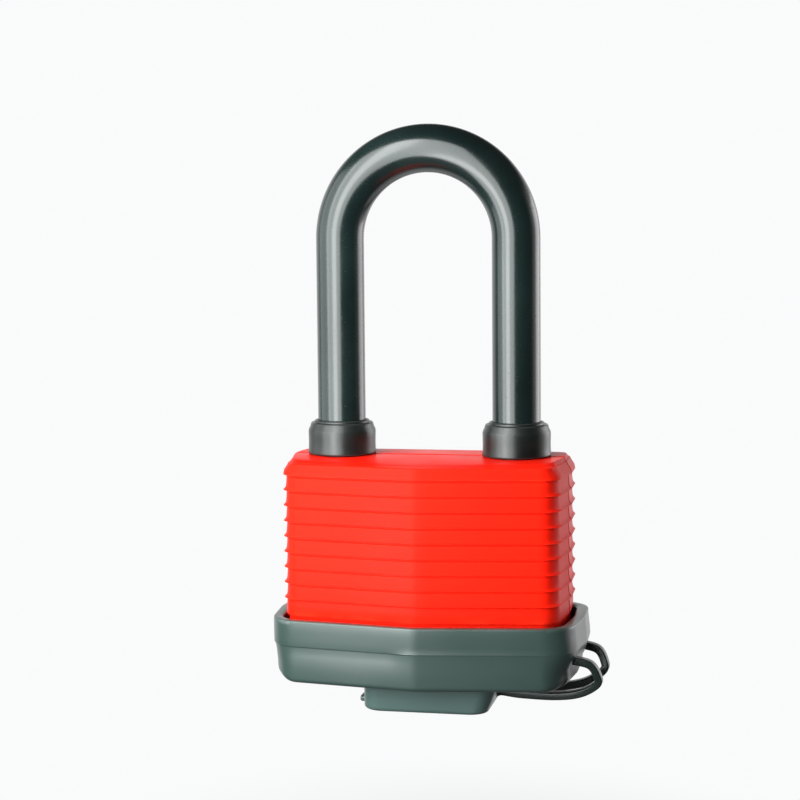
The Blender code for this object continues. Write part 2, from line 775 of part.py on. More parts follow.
def cam_outline():
    """Two lobes whose radius grows evenly by the latch stroke over a quarter turn of the plug."""
    points = []
    steps = 10
    for lobe in (0.0, 180.0):
        for step in range(steps):
            share = step / steps
            angle = math.radians(lobe - 90.0 * (1.0 - share))
            radius = CAM_MIN_RADIUS + LATCH_STROKE * (1.0 - share)
            points.append((radius * math.cos(angle), radius * math.sin(angle)))
        for step in range(3):
            angle = math.radians(lobe + 20.0 * step)
            points.append((CAM_MIN_RADIUS * math.cos(angle), CAM_MIN_RADIUS * math.sin(angle)))
    return points


def make_cam():
    """The cam on its stem, with a tongue that drops into the plug's slot."""
    bottom = plate_bottom(LATCH_PLATES[0]) + 0.1
    top = plate_bottom(LATCH_PLATES[-1]) + PLATE_THICKNESS - 0.1
    cam = prism("latch_cam", [cam_outline()], bottom, top, "bright_steel")
    stem_start = (0.0, 0.0, PLUG_TOP + GAP)
    stem = cylinder("cam_stem", STEM_RADIUS - 0.1, stem_start, (0.0, 0.0, bottom + 1.0), sides=16)
    cut(cam, stem, "UNION")
    tongue = box("cam_tongue", (-2.6, -0.8, PLUG_TOP - 1.0), (2.6, 0.8, PLUG_TOP + 1.5))
    cut(cam, tongue, "UNION")


def make_latch(name, side):
    """A flat latch: a round nose against the cam and a square tip that enters the shackle's notch."""
    nose = CAM_MIN_RADIUS + GAP + LATCH_NOSE_RADIUS
    outline = arc((nose, 0.0), LATCH_NOSE_RADIUS, 240.0, 120.0, 6)
    outline += [
        (7.4, LATCH_HALF_WIDTH),
        (LATCH_TIP - 0.4, LATCH_HALF_WIDTH),
        (LATCH_TIP, LATCH_HALF_WIDTH - 0.4),
        (LATCH_TIP, -LATCH_HALF_WIDTH + 0.4),
        (LATCH_TIP - 0.4, -LATCH_HALF_WIDTH),
        (7.4, -LATCH_HALF_WIDTH),
    ]
    if side < 0:
        outline = mirror_x(outline)
    bottom = plate_bottom(LATCH_PLATES[0]) + 0.05
    top = plate_bottom(LATCH_PLATES[-1]) + PLATE_THICKNESS - 0.05
    prism(name, [outline], bottom, top, "bright_steel")


make_jacket()
make_bumper()
make_cover()
make_strap("cover_strap_front", -1)
make_strap("cover_strap_rear", 1)
make_plates()
make_rivets()
make_shackle()
make_collar("shackle_collar_left", -LEG_X)
make_collar("shackle_collar_right", LEG_X)
make_shackle_spring()
make_housing()
make_plug()
make_pins()
make_clip()
make_cam()
make_latch("latch_left", -1)
make_latch("latch_right", 1)
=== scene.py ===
"""Looks of the weatherproof laminated padlock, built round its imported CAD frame.

Heights are millimetres above the underside of the keyway cover, as in the CAD source, and place()
turns them into the frame's metres. The front of the lock faces -Y and the cover's strap is at +X.
"""

import json
import math

import bmesh
import bpy
import numpy as np
from mathutils import Matrix, Vector


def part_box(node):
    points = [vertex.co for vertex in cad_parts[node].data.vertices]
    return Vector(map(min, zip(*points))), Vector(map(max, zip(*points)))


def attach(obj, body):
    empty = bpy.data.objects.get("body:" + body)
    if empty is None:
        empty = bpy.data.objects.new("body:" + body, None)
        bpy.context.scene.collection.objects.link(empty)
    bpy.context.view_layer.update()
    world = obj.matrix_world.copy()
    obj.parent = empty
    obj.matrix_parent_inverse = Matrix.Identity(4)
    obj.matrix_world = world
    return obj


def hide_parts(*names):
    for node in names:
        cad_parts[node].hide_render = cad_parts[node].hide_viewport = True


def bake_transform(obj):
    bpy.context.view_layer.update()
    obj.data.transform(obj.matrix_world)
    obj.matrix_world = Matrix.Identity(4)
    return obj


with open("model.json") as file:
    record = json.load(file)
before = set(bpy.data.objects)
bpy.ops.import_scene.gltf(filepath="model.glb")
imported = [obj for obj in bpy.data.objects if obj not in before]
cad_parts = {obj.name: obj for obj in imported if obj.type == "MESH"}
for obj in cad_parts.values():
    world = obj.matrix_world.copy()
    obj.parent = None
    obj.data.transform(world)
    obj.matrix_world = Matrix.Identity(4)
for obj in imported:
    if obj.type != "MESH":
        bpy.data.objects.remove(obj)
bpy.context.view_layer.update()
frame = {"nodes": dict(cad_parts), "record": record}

MM = 0.001
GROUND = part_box("keyway_cover")[0].z
GAP = 0.3
SHARP_ANGLE = 38.0  # degrees above which an edge is shaded sharp

# Jacket outline, in plan
HALF_WIDTH = 27.0
HALF_DEPTH = 14.8
FACET_SETBACK = 3.8
CORNER_X = 25.9
REAR_CORNER_X = 26.6
CORNER_RADIUS = 4.2
JACKET_WALL = 1.4

# Heights
COVER_HEIGHT = 5.6
BUMPER_TOP = 17.4
BUMPER_FLOOR_TOP = 7.6
JACKET_FOOT = 7.9
STACK_TOP = 45.3
JACKET_EDGE_TOP = 46.4
JACKET_CROWN = 47.2
FIRST_RIDGE = 44.1
RIDGE_PITCH = 2.9
RIDGE_COUNT = 9
RIB_DEPTH = 0.62
FRONT_STEP = 0.32
CREASE_ROUND = 1.6  # how far the facets' crease is rounded on the jacket

# Shackle, collars and lock cylinder
ROD_RADIUS = 4.5
LEG_X = 16.7
BOW_CENTRE_Z = 87.7
LIFT = 19.6
HEEL_END_Z = 14.6
TOE_END_Z = 34.4
NOTCH = (36.5, 42.8)
NOTCH_DEPTH = 2.0
LEG_HOLE_RADIUS = 5.6
LEG_HOLE_TOP = 50.0
PLUG_RADIUS = 5.3
PIN_HEIGHTS = (13.6, 17.2, 20.8, 24.4)
PIN_RADIUS = 1.2
PIN_HOLE_RADIUS = 1.5
RIVET_RADIUS = 1.5


def place(x, y, height):
    """A point given in millimetres, in the frame's metres."""
    return Vector((x * MM, y * MM, GROUND + height * MM))


# ---------------------------------------- material building blocks


class Nodes:
    """A short way to build a node tree: each call adds a node and returns one of its outputs."""

    def __init__(self, tree):
        self.tree = tree

    def add(self, kind, out=0, settings=(), **inputs):
        node = self.tree.nodes.new(kind)
        for key, value in dict(settings).items():
            setattr(node, key, value)
        for key, value in inputs.items():
            socket = self.find(node, key)
            if isinstance(value, bpy.types.NodeSocket):
                self.tree.links.new(value, socket)
            else:
                socket.default_value = value
        return node.outputs[out]

    @staticmethod
    def find(node, key):
        if key[0] == "i" and key[1:].isdigit():
            return node.inputs[int(key[1:])]
        return node.inputs[key.replace("_", " ")]

    def math(self, operation, a, b=0.0, clamp=False):
        settings = {"operation": operation, "use_clamp": clamp}
        return self.add("ShaderNodeMath", settings=settings, i0=a, i1=b)

    def spread(self, value, low, high, to_low, to_high, smooth=False):
        """Maps a value's range to another, clamped at both ends."""
        settings = {"interpolation_type": "SMOOTHSTEP" if smooth else "LINEAR"}
        limits = {"i1": low, "i2": high, "i3": to_low, "i4": to_high}
        return self.add("ShaderNodeMapRange", settings=settings, i0=value, **limits)

    def blend(self, factor, first, second):
        """A colour mix; the colours are (r, g, b) or sockets."""
        node = self.tree.nodes.new("ShaderNodeMix")
        node.data_type = "RGBA"
        for index, value in ((0, factor), (6, first), (7, second)):
            socket = node.inputs[index]
            if isinstance(value, bpy.types.NodeSocket):
                self.tree.links.new(value, socket)
            elif isinstance(value, tuple):
                socket.default_value = (*value, 1.0)
            else:
                socket.default_value = value
        return node.outputs[2]

    def noise(self, where, scale, detail=3.0, roughness=0.5):
        inputs = {"Scale": scale, "Detail": detail, "Roughness": roughness}
        return self.add("ShaderNodeTexNoise", Vector=where, **inputs)

    def stretched(self, where, scale, turn=(0.0, 0.0, 0.0)):
        """Coordinates scaled by axis, for marks that run along one direction."""
        return self.add("ShaderNodeMapping", Vector=where, Scale=scale, Rotation=turn)

    def bump(self, height, strength, distance, normal=None):
        inputs = {"Strength": strength, "Distance": distance, "Height": height}
        if normal is not None:
            inputs["Normal"] = normal
        return self.add("ShaderNodeBump", **inputs)


def scratches(nodes, where, scale, turn, sharpness):
    """Thin hairline marks along one direction, as a 0 to 1 mask."""
    turned_where = nodes.stretched(where, (1.0, 1.0, 1.0), turn)
    lines = nodes.stretched(turned_where, (scale, scale * 0.035, scale))
    raw = nodes.noise(lines, 1.0, detail=2.0, roughness=0.55)
    return nodes.spread(raw, sharpness, sharpness + 0.05, 0.0, 1.0)


def start_material(name):
    material = bpy.data.materials.new(name)
    material.use_nodes = True
    shader = material.node_tree.nodes["Principled BSDF"]
    nodes = Nodes(material.node_tree)
    where = nodes.add("ShaderNodeTexCoord", out=3)
    return material, shader, nodes, where


def connect(material, shader, colour, roughness, normal):
    links = material.node_tree.links
    links.new(colour, shader.inputs["Base Color"])
    links.new(roughness, shader.inputs["Roughness"])
    links.new(normal, shader.inputs["Normal"])


def edge_mask(nodes, low=0.515, high=0.56):
    """1 along the mesh's convex edges, 0 elsewhere."""
    pointiness = nodes.add("ShaderNodeNewGeometry", out=7)
    return nodes.spread(pointiness, low, high, 0.0, 1.0, smooth=True)


def moulded_plastic(name, base, worn, rough, grain, grain_scale, specular, hairlines):
    """Moulded plastic: faint colour drift, mould grain, hairline marks and rubbed edges."""
    material, shader, nodes, where = start_material(name)
    drift = nodes.noise(where, 55.0, detail=4.0)
    specks = nodes.noise(where, 900.0, detail=2.0)
    edges = edge_mask(nodes)
    wear_patch = nodes.spread(nodes.noise(where, 240.0, detail=5.0), 0.42, 0.68, 0.0, 1.0)
    wear = nodes.math("MULTIPLY", edges, wear_patch)
    shade = tuple(channel * 0.86 for channel in base)
    colour = nodes.blend(nodes.spread(drift, 0.3, 0.7, 0.0, 1.0), base, shade)
    colour = nodes.blend(nodes.spread(specks, 0.55, 0.8, 0.0, 0.10), colour, shade)
    colour = nodes.blend(nodes.math("MULTIPLY", wear, 0.35), colour, worn)
    fine = scratches(nodes, where, 1500.0, (1.25, 0.0, 0.5), 0.68)
    cross = scratches(nodes, where, 1100.0, (0.5, 0.3, 1.2), 0.69)
    marks = nodes.math("MAXIMUM", fine, cross)
    smudge = nodes.noise(where, 110.0, detail=2.0, roughness=0.4)
    smudge = nodes.spread(smudge, 0.2, 0.8, 0.0, 1.0, smooth=True)
    roughness = nodes.spread(smudge, 0.0, 1.0, rough[0], rough[1])
    roughness = nodes.math("ADD", roughness, nodes.math("MULTIPLY", marks, 0.015))
    roughness = nodes.math("ADD", roughness, nodes.math("MULTIPLY", wear, 0.06), clamp=True)
    texture = nodes.noise(where, grain_scale, detail=3.0, roughness=0.6)
    flow = nodes.noise(where, 160.0, detail=2.0)
    normal = nodes.bump(flow, 0.10, 0.0002)
    normal = nodes.bump(texture, grain, 0.00004, normal)
    normal = nodes.bump(nodes.math("SUBTRACT", 1.0, marks), hairlines, 0.00001, normal)
    connect(material, shader, colour, roughness, normal)
    shader.inputs["Specular IOR Level"].default_value = specular
    return material


def coated_steel(name, base, rough):
    """Black enamelled bar: faint orange peel, dust-fine pits and brighter rubbed spots."""
    material, shader, nodes, where = start_material(name)
    peel = nodes.noise(where, 520.0, detail=2.0)
    pits = nodes.add("ShaderNodeTexVoronoi", Vector=where, Scale=900.0)
    pit_mask = nodes.spread(pits, 0.05, 0.16, 1.0, 0.0)
    drift = nodes.noise(where, 70.0, detail=4.0)
    tint = tuple(channel * 1.9 + 0.004 for channel in base)
    colour = nodes.blend(nodes.spread(drift, 0.35, 0.7, 0.0, 0.7), base, tint)
    edges = edge_mask(nodes, 0.53, 0.60)
    colour = nodes.blend(nodes.math("MULTIPLY", edges, 0.3), colour, (0.16, 0.16, 0.16))
    rubbed = scratches(nodes, where, 1300.0, (0.15, 1.5, 0.0), 0.67)
    wipe = nodes.spread(nodes.noise(where, 90.0, detail=5.0, roughness=0.62), 0.32, 0.7, 0.0, 1.0)
    roughness = nodes.spread(wipe, 0.0, 1.0, rough[0], rough[1])
    roughness = nodes.math("ADD", roughness, nodes.math("MULTIPLY", rubbed, 0.10), clamp=True)
    normal = nodes.bump(peel, 0.10, 0.00006)
    normal = nodes.bump(nodes.math("SUBTRACT", 1.0, pit_mask), 0.10, 0.00001, normal)
    normal = nodes.bump(nodes.math("SUBTRACT", 1.0, rubbed), 0.18, 0.00001, normal)
    connect(material, shader, colour, roughness, normal)
    shader.inputs["Coat Weight"].default_value = 0.25
    shader.inputs["Coat Roughness"].default_value = 0.10
    return material


def soft_rubber(name, base, rough):
    """Satin moulded rubber with a fine matt skin and a little bloom."""
    material, shader, nodes, where = start_material(name)
    skin = nodes.noise(where, 2600.0, detail=4.0, roughness=0.65)
    bloom = nodes.spread(nodes.noise(where, 130.0, detail=5.0, roughness=0.6), 0.4, 0.75, 0.0, 1.0)
    dusty = tuple(channel * 2.0 + 0.012 for channel in base)
    colour = nodes.blend(nodes.math("MULTIPLY", bloom, 0.45), base, dusty)
    edges = edge_mask(nodes)
    colour = nodes.blend(nodes.math("MULTIPLY", edges, 0.25), colour, (0.10, 0.11, 0.11))
    roughness = nodes.spread(bloom, 0.0, 1.0, rough[0], rough[1])
    normal = nodes.bump(nodes.noise(where, 420.0, detail=2.0), 0.12, 0.00008)
    normal = nodes.bump(skin, 0.22, 0.00003, normal)
    connect(material, shader, colour, roughness, normal)
    return material


def bare_metal(name, base, stain, rough, along, brush_scale):
    """Bare metal with fine machining marks and a light stain.

    along scales brushing marks by axis; None gives turning rings round Z instead.
    """
    material, shader, nodes, where = start_material(name)
    shader.inputs["Metallic"].default_value = 1.0
    if along is None:
        multiply, length = {"operation": "MULTIPLY"}, {"operation": "LENGTH"}
        flat = nodes.add("ShaderNodeVectorMath", settings=multiply, i0=where, i1=(1.0, 1.0, 0.0))
        radius = nodes.add("ShaderNodeVectorMath", out=1, settings=length, i0=flat)
        height = nodes.add("ShaderNodeSeparateXYZ", out=2, i0=where)
        outwards = nodes.math("ADD", radius, height)
        path = nodes.add("ShaderNodeCombineXYZ", X=outwards, Y=radius, Z=height)
        scale = (brush_scale,) * 3
    else:
        path = where
        scale = tuple(brush_scale * step for step in along)
    lines = nodes.noise(nodes.stretched(path, scale), 1.0, detail=3.0)
    stains = nodes.noise(where, 95.0, detail=6.0, roughness=0.65)
    stains = nodes.spread(stains, 0.42, 0.75, 0.0, 1.0)
    dull = tuple(channel * 0.7 for channel in base)
    bright = tuple(min(1.0, channel * 1.25) for channel in base)
    colour = nodes.blend(nodes.math("MULTIPLY", stains, 0.55), base, stain)
    colour = nodes.blend(nodes.spread(lines, 0.35, 0.7, 0.0, 0.25), colour, dull)
    edges = edge_mask(nodes)
    colour = nodes.blend(nodes.math("MULTIPLY", edges, 0.4), colour, bright)
    nicks = scratches(nodes, where, 1200.0, (0.3, 0.2, 0.8), 0.67)
    roughness = nodes.spread(lines, 0.3, 0.7, rough[0], rough[1])
    roughness = nodes.math("ADD", roughness, nodes.math("MULTIPLY", stains, 0.10), clamp=True)
    normal = nodes.bump(lines, 0.20, 0.00002)
    normal = nodes.bump(nodes.math("SUBTRACT", 1.0, nicks), 0.2, 0.00001, normal)
    connect(material, shader, colour, roughness, normal)
    return material


JACKET = moulded_plastic(
    "jacket_plastic", base=(0.93, 0.0135, 0.0046), worn=(1.0, 0.06, 0.02), rough=(0.28, 0.36),
    grain=0.04, grain_scale=1500.0, specular=0.035, hairlines=0.05,
)
BUMPER = moulded_plastic(
    "bumper_plastic", base=(0.030, 0.054, 0.048), worn=(0.14, 0.17, 0.16), rough=(0.28, 0.34),
    grain=0.06, grain_scale=3200.0, specular=0.95, hairlines=0.03,
)
STRAP = moulded_plastic(
    "strap_plastic", base=(0.007, 0.016, 0.013), worn=(0.10, 0.12, 0.115), rough=(0.28, 0.36),
    grain=0.06, grain_scale=3200.0, specular=0.8, hairlines=0.02,
)
# The bumper's dark plastic with its base colour painted lighter: painted light that makes up for
# the shade the cover sits in beneath the bumper.
COVER_WITH_PAINTED_LIGHT = moulded_plastic(
    "cover_plastic_painted_light", base=(0.076, 0.128, 0.119), worn=(0.12, 0.15, 0.14), rough=(0.28, 0.34),
    grain=0.06, grain_scale=3200.0, specular=0.95, hairlines=0.02,
)
SHACKLE = coated_steel("shackle_enamel", base=(0.003, 0.008, 0.0075), rough=(0.20, 0.265))
COLLAR = soft_rubber("collar_rubber", base=(0.0035, 0.0055, 0.005), rough=(0.28, 0.38))
PLATE = bare_metal(
    "plate_steel", base=(0.60, 0.60, 0.57), stain=(0.46, 0.44, 0.36), rough=(0.28, 0.42),
    along=(0.06, 1.0, 1.0), brush_scale=900.0,
)
STEEL = bare_metal(
    "ground_steel", base=(0.56, 0.57, 0.58), stain=(0.40, 0.40, 0.40), rough=(0.22, 0.36),
    along=(1.0, 0.08, 1.0), brush_scale=1100.0,
)
SPRING = bare_metal(
    "spring_wire", base=(0.50, 0.51, 0.53), stain=(0.30, 0.31, 0.33), rough=(0.20, 0.34),
    along=(1.0, 1.0, 0.3), brush_scale=1600.0,
)
BRASS = bare_metal(
    "machined_brass", base=(0.80, 0.58, 0.25), stain=(0.55, 0.36, 0.13), rough=(0.20, 0.34),
    along=None, brush_scale=2600.0,
)


# ---------------------------------------- mesh building blocks


WELD_DISTANCE = 0.000002  # metres
SHORTEST_EDGE = 0.000001


def add_mesh(name, vertices, faces, material=None, sharp_angle=SHARP_ANGLE):
    """A closed mesh from points in millimetres, with its faces outwards and its edges shaded."""
    mesh = bpy.data.meshes.new(name)
    body = bmesh.new()
    made = [body.verts.new(place(*point)) for point in vertices]
    for face in faces:
        body.faces.new([made[index] for index in face])
    bmesh.ops.remove_doubles(body, verts=body.verts, dist=WELD_DISTANCE)
    bmesh.ops.dissolve_degenerate(body, edges=body.edges, dist=SHORTEST_EDGE)
    bmesh.ops.recalc_face_normals(body, faces=body.faces)
    body.to_mesh(mesh)
    body.free()
    item = bpy.data.objects.new(name, mesh)
    bpy.context.scene.collection.objects.link(item)
    if material:
        mesh.materials.append(material)
    shade(item, sharp_angle)
    return item


def shade(item, sharp_angle=SHARP_ANGLE):
    item.data.shade_smooth()
    item.data.set_sharp_from_angle(angle=math.radians(sharp_angle))


def loft(name, sections, material=None, cyclic=False, sharp_angle=SHARP_ANGLE):
    """A body through equal-sized closed sections; cyclic joins the last section to the first."""
    size = len(sections[0])
    vertices = [point for section in sections for point in section]
    faces = []
    pairs = [(k, k + 1) for k in range(len(sections) - 1)]
    if cyclic:
        pairs.append((len(sections) - 1, 0))
    for lower, upper in pairs:
        low, high = lower * size, upper * size
        for index in range(size):
            follower = (index + 1) % size
            faces.append((low + index, low + follower, high + follower, high + index))
    if not cyclic:
        last = (len(sections) - 1) * size
        faces.append(tuple(range(size))[::-1])
        faces.append(tuple(last + index for index in range(size)))
    return add_mesh(name, vertices, faces, material, sharp_angle)


def carve(item, cutter, operation="DIFFERENCE"):
    """Applies a Boolean with another body, which is then removed."""
    modifier = item.modifiers.new("carve", "BOOLEAN")
    modifier.operation = operation
    modifier.solver = "EXACT"
    modifier.object = cutter
    bpy.context.view_layer.update()
    evaluated = item.evaluated_get(bpy.context.evaluated_depsgraph_get())
    mesh = bpy.data.meshes.new_from_object(evaluated)
    item.modifiers.clear()
    material = item.data.materials[0] if item.data.materials else None
    item.data = mesh
    item.data.materials.clear()
    if material:
        item.data.materials.append(material)
    bpy.data.objects.remove(cutter, do_unlink=True)
    shade(item)


def turned(name, profile, centre, material=None, sides=96, sharp_angle=SHARP_ANGLE):
    """A body turned about a vertical line, from a closed run of (radius, height) points."""
    sections = []
    for step in range(sides):
        angle = 2 * math.pi * step / sides
        dx, dy = math.cos(angle), math.sin(angle)
        sections.append([(centre[0] + r * dx, centre[1] + r * dy, z) for r, z in profile])
    return loft(name, sections, material, cyclic=True, sharp_angle=sharp_angle)


def turned_along_x(name, profile, start, material=None, sides=48):
    """A body turned about a line along +X, from a closed run of (radius, distance) points."""
    sections = []
    for step in range(sides):
        angle = 2 * math.pi * step / sides
        dy, dz = math.cos(angle), math.sin(angle)
        sections.append([(start[0] + d, start[1] + r * dy, start[2] + r * dz) for r, d in profile])
    return loft(name, sections, material, cyclic=True)


def box(name, low, high):
    """A plain cutter between two opposite corners."""
    x, y, z = zip(low, high)
    base = [(x[0], y[0]), (x[1], y[0]), (x[1], y[1]), (x[0], y[1])]
    return loft(name, [[(a, b, height) for a, b in base] for height in z])


def round_corner(radius, start_angle, centre, steps):
    """Points of a quarter circle from one angle, in degrees."""
    points = []
    for step in range(steps + 1):
        angle = math.radians(start_angle + 90.0 * step / steps)
        points.append((centre[0] + radius * math.cos(angle), centre[1] + radius * math.sin(angle)))
    return points


def rounded_rectangle(left, right, near, far, radius, steps=8):
    points = round_corner(radius, -90.0, (right - radius, near + radius), steps)
    points += round_corner(radius, 0.0, (right - radius, far - radius), steps)
    points += round_corner(radius, 90.0, (left + radius, far - radius), steps)
    points += round_corner(radius, 180.0, (left + radius, near + radius), steps)
    return points


def sweep(name, path, section, material):
    """A band along a path; section gives (across, outwards) points for a share of the way."""
    sections = []
    last = len(path) - 1
    side = Vector((0.0, 1.0, 0.0))
    for index, spot in enumerate(path):
        along = (path[min(index + 1, last)] - path[max(index - 1, 0)]).normalized()
        outwards = along.cross(side).normalized()
        ring = section(index / last)
        sections.append([tuple(spot + side * a + outwards * b) for a, b in ring])
    return loft(name, sections, material)


def smooth_path(points, steps):
    """A Catmull-Rom curve through the given points."""
    padded = [points[0] * 2 - points[1], *points, points[-1] * 2 - points[-2]]
    result = []
    for index in range(1, len(padded) - 2):
        a, b, c, d = padded[index - 1 : index + 3]
        square = a * 2 - b * 5 + c * 4 - d
        cube = b * 3 - a - c * 3 + d
        for step in range(steps):
            t = step / steps
            result.append((b * 2 + (c - a) * t + square * t * t + cube * t ** 3) / 2)
    return result + [points[-1]]


def smooth_step(value, low, high):
    share = min(1.0, max(0.0, (value - low) / (high - low)))
    return share * share * (3 - 2 * share)


# ---------------------------------------- outline shared by jacket and bumper


FACET_SPACING = 0.55
ARC_STEPS = 20
END_STEPS = 26


def half_outline(side, crease_round):
    """The outline from the -X end round one side to +X, as (x, y, nx, ny, end share) rows.

    side is -1 for the front and 1 for the rear. The end share is 0 on the facets, 1 on the ends.
    """
    corner_x = CORNER_X if side < 0 else REAR_CORNER_X
    corner_y = HALF_DEPTH - FACET_SETBACK
    facet = math.atan2(FACET_SETBACK, corner_x)
    taper = math.atan2(HALF_WIDTH - corner_x, corner_y)
    start, end = math.pi / 2 - facet, taper
    reach = CORNER_RADIUS / math.cos((start - end) / 2)
    middle = (start + end) / 2
    centre = (corner_x - reach * math.cos(middle), corner_y - reach * math.sin(middle))
    rows = []
    arc = []
    for step in range(ARC_STEPS + 1):
        angle = start + (end - start) * step / ARC_STEPS
        nx, ny = math.cos(angle), math.sin(angle)
        share = smooth_step(step / ARC_STEPS, 0.0, 0.75)
        arc.append((centre[0] + CORNER_RADIUS * nx, centre[1] + CORNER_RADIUS * ny, nx, ny, share))
    facet_steps = int(arc[0][0] / FACET_SPACING)
    for step in range(facet_steps):
        share = step / facet_steps
        x = arc[0][0] * share
        y = HALF_DEPTH + (arc[0][1] - HALF_DEPTH) * share
        turn = facet * smooth_step(x, 0.0, crease_round)
        sink = crease_round * facet * 0.25 * (1 - smooth_step(x, 0.0, crease_round))
        rows.append((x, y - sink, math.sin(turn), math.cos(turn), 0.0))
    rows += arc
    last = arc[-1]
    for step in range(1, END_STEPS + 1):
        share = 1 - (1 - step / END_STEPS) ** 1.6
        x = last[0] + (HALF_WIDTH - last[0]) * share
        y = last[1] + (GAP / 2 - last[1]) * share
        rows.append((x, y, math.cos(taper * (1 - share)), math.sin(taper * (1 - share)), 1.0))
    mirrored = [(-x, y, -nx, ny, share) for x, y, nx, ny, share in reversed(rows[1:])]
    return [(x, side * y, nx, side * ny, share) for x, y, nx, ny, share in mirrored + rows]


def full_outline(crease_round):
    """Both halves joined into one closed outline."""
    front = half_outline(-1, crease_round)
    rear = half_outline(1, crease_round)
    right_end = (HALF_WIDTH, 0.0, 1.0, 0.0, 1.0)
    left_end = (-HALF_WIDTH, 0.0, -1.0, 0.0, 1.0)
    return front[:-1] + [right_end] + rear[::-1][1:-1] + [left_end]


# ---------------------------------------- jacket


BAND_PROFILE = (  # down one band: (share of its height, end depth, facet depth)
    (0.00, 0.30, 0.60),
    (0.03, 0.92, 1.25),
    (0.08, 1.00, 1.15),
    (0.14, 1.00, 0.62),
    (0.35, 0.94, 0.36),
    (0.60, 0.86, 0.18),
    (0.78, 0.74, 0.08),
    (0.86, 0.58, 0.04),
    (0.93, 0.34, 0.02),
    (0.98, 0.10, 0.00),
)


def rib_levels():
    """(height, end share, facet share) of the depth down the ribbed wall.

    At the ends the wall steps in below each thin fin and flares out to the next; on the facets a
    fine groove runs under each fin. The foot is drawn in where it enters the bumper.
    """
    levels = []
    for index in range(RIDGE_COUNT - 1):
        lip = FIRST_RIDGE - index * RIDGE_PITCH
        levels.append((lip + 0.03, 0.0, 0.0))
        for share, end_depth, facet_depth in BAND_PROFILE:
            levels.append((lip - 0.04 - share * (RIDGE_PITCH - 0.10), end_depth, facet_depth))
    lowest = FIRST_RIDGE - (RIDGE_COUNT - 1) * RIDGE_PITCH
    levels += [
        (lowest + 0.03, 0.0, 0.0),
        (lowest - 0.05, 0.30, 0.80),
        (lowest - 0.16, 0.75, 1.40),
        (lowest - 0.45, 0.80, 1.40),
        (lowest - 1.00, 0.70, 1.10),
        (BUMPER_TOP + 0.50, 0.62, 0.95),
        (BUMPER_TOP + 0.42, 0.70, 1.05),
        (BUMPER_TOP + 0.36, 1.40, 2.70),
        (JACKET_FOOT, 1.40, 2.70),
    ]
    return levels


def shoulder_levels(end_share):
    """(height, offset) from the first lip up to the rim of the top face; softer at the ends."""
    inset = 0.10 + 0.75 * end_share
    radius = 0.38
    points = [(FIRST_RIDGE + 0.3, -0.05), (FIRST_RIDGE + 0.9, -0.07 - 0.12 * end_share)]
    foot = JACKET_EDGE_TOP - radius
    for step in range(9):
        angle = math.radians(90.0 * step / 8)
        height = foot + radius * math.sin(angle)
        points.append((height, -inset - radius * (1 - math.cos(angle))))
    return points


PARTING_RADIUS = 0.45
TOP_STEPS = 24  # across the top face, from its rim to the parting line


def parting_drop(distance):
    """How far a surface falls away within the rounded edge at the parting line."""
    near = max(0.0, 1.0 - distance / PARTING_RADIUS)
    return PARTING_RADIUS * 0.8 * (1.0 - math.sqrt(max(0.0, 1.0 - near * near)))


def jacket_section(row, side):
    """One closed section of a shell: up its outside, over to the parting line and back inside."""
    x, y, nx, ny, end_share = row
    edge = parting_drop(abs(y) - GAP / 2)
    section = []
    for height, hollow, overhang in reversed(rib_levels()):
        depth = RIB_DEPTH * hollow * end_share + FRONT_STEP * overhang * (1 - end_share) + edge
        section.append((x - nx * depth, y - ny * depth, height))
    for height, offset in shoulder_levels(end_share):
        depth = edge - offset
        section.append((x - nx * depth, y - ny * depth, height))
    rim_x, rim_y, _ = section[-1]
    inner_x = x - nx * JACKET_WALL
    inner_y = side * max(GAP / 2, abs(y - ny * JACKET_WALL))
    seam_x = rim_x * (1.0 - 0.16 * smooth_step(abs(rim_y), 0.0, HALF_DEPTH - FACET_SETBACK))
    for step in range(1, TOP_STEPS + 1):
        share = 1 - (1 - step / TOP_STEPS) ** 1.5
        px = rim_x + (seam_x - rim_x) * share
        py = rim_y + (side * GAP / 2 - rim_y) * share
        outwards = min(1.0, abs(py) / (HALF_DEPTH - 1.0))
        rise = (JACKET_CROWN - JACKET_EDGE_TOP) * (1.0 - outwards ** 3.0)
        rise *= smooth_step(share, 0.0, 0.25) if abs(rim_y) < 2.0 else 1.0
        crown = JACKET_EDGE_TOP + rise * smooth_step(share, 0.0, 0.12)
        section.append((px, py, crown - parting_drop(abs(py) - GAP / 2)))
    under = STACK_TOP + GAP
    inner_seam_x = min(abs(seam_x), abs(inner_x)) * (1 if x > 0 else -1)
    section.append((inner_seam_x, side * GAP / 2, under))
    section.append((inner_x, inner_y, under))
    section.append((inner_x, inner_y, JACKET_FOOT))
    return section


def make_jacket_shell(name, node, side):
    rows = half_outline(side, CREASE_ROUND)
    shell = loft(name, [jacket_section(row, side) for row in rows], JACKET, sharp_angle=30.0)
    low, high = STACK_TOP - 2.0, LEG_HOLE_TOP
    hole = [(0.0, low), (LEG_HOLE_RADIUS, low), (LEG_HOLE_RADIUS, high), (0.0, high)]
    for leg in (-LEG_X, LEG_X):
        carve(shell, turned("leg_hole", hole, (leg, 0.0)))
    shade(shell, 30.0)
    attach(shell, "lock_case")
    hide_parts(node)


# ---------------------------------------- bumper, keyway cover and strap


OPENING_RADIUS = 6.6
OPENING_MOUTH = 7.05
END_SWELL = 0.75  # the boot is fuller at its strap end


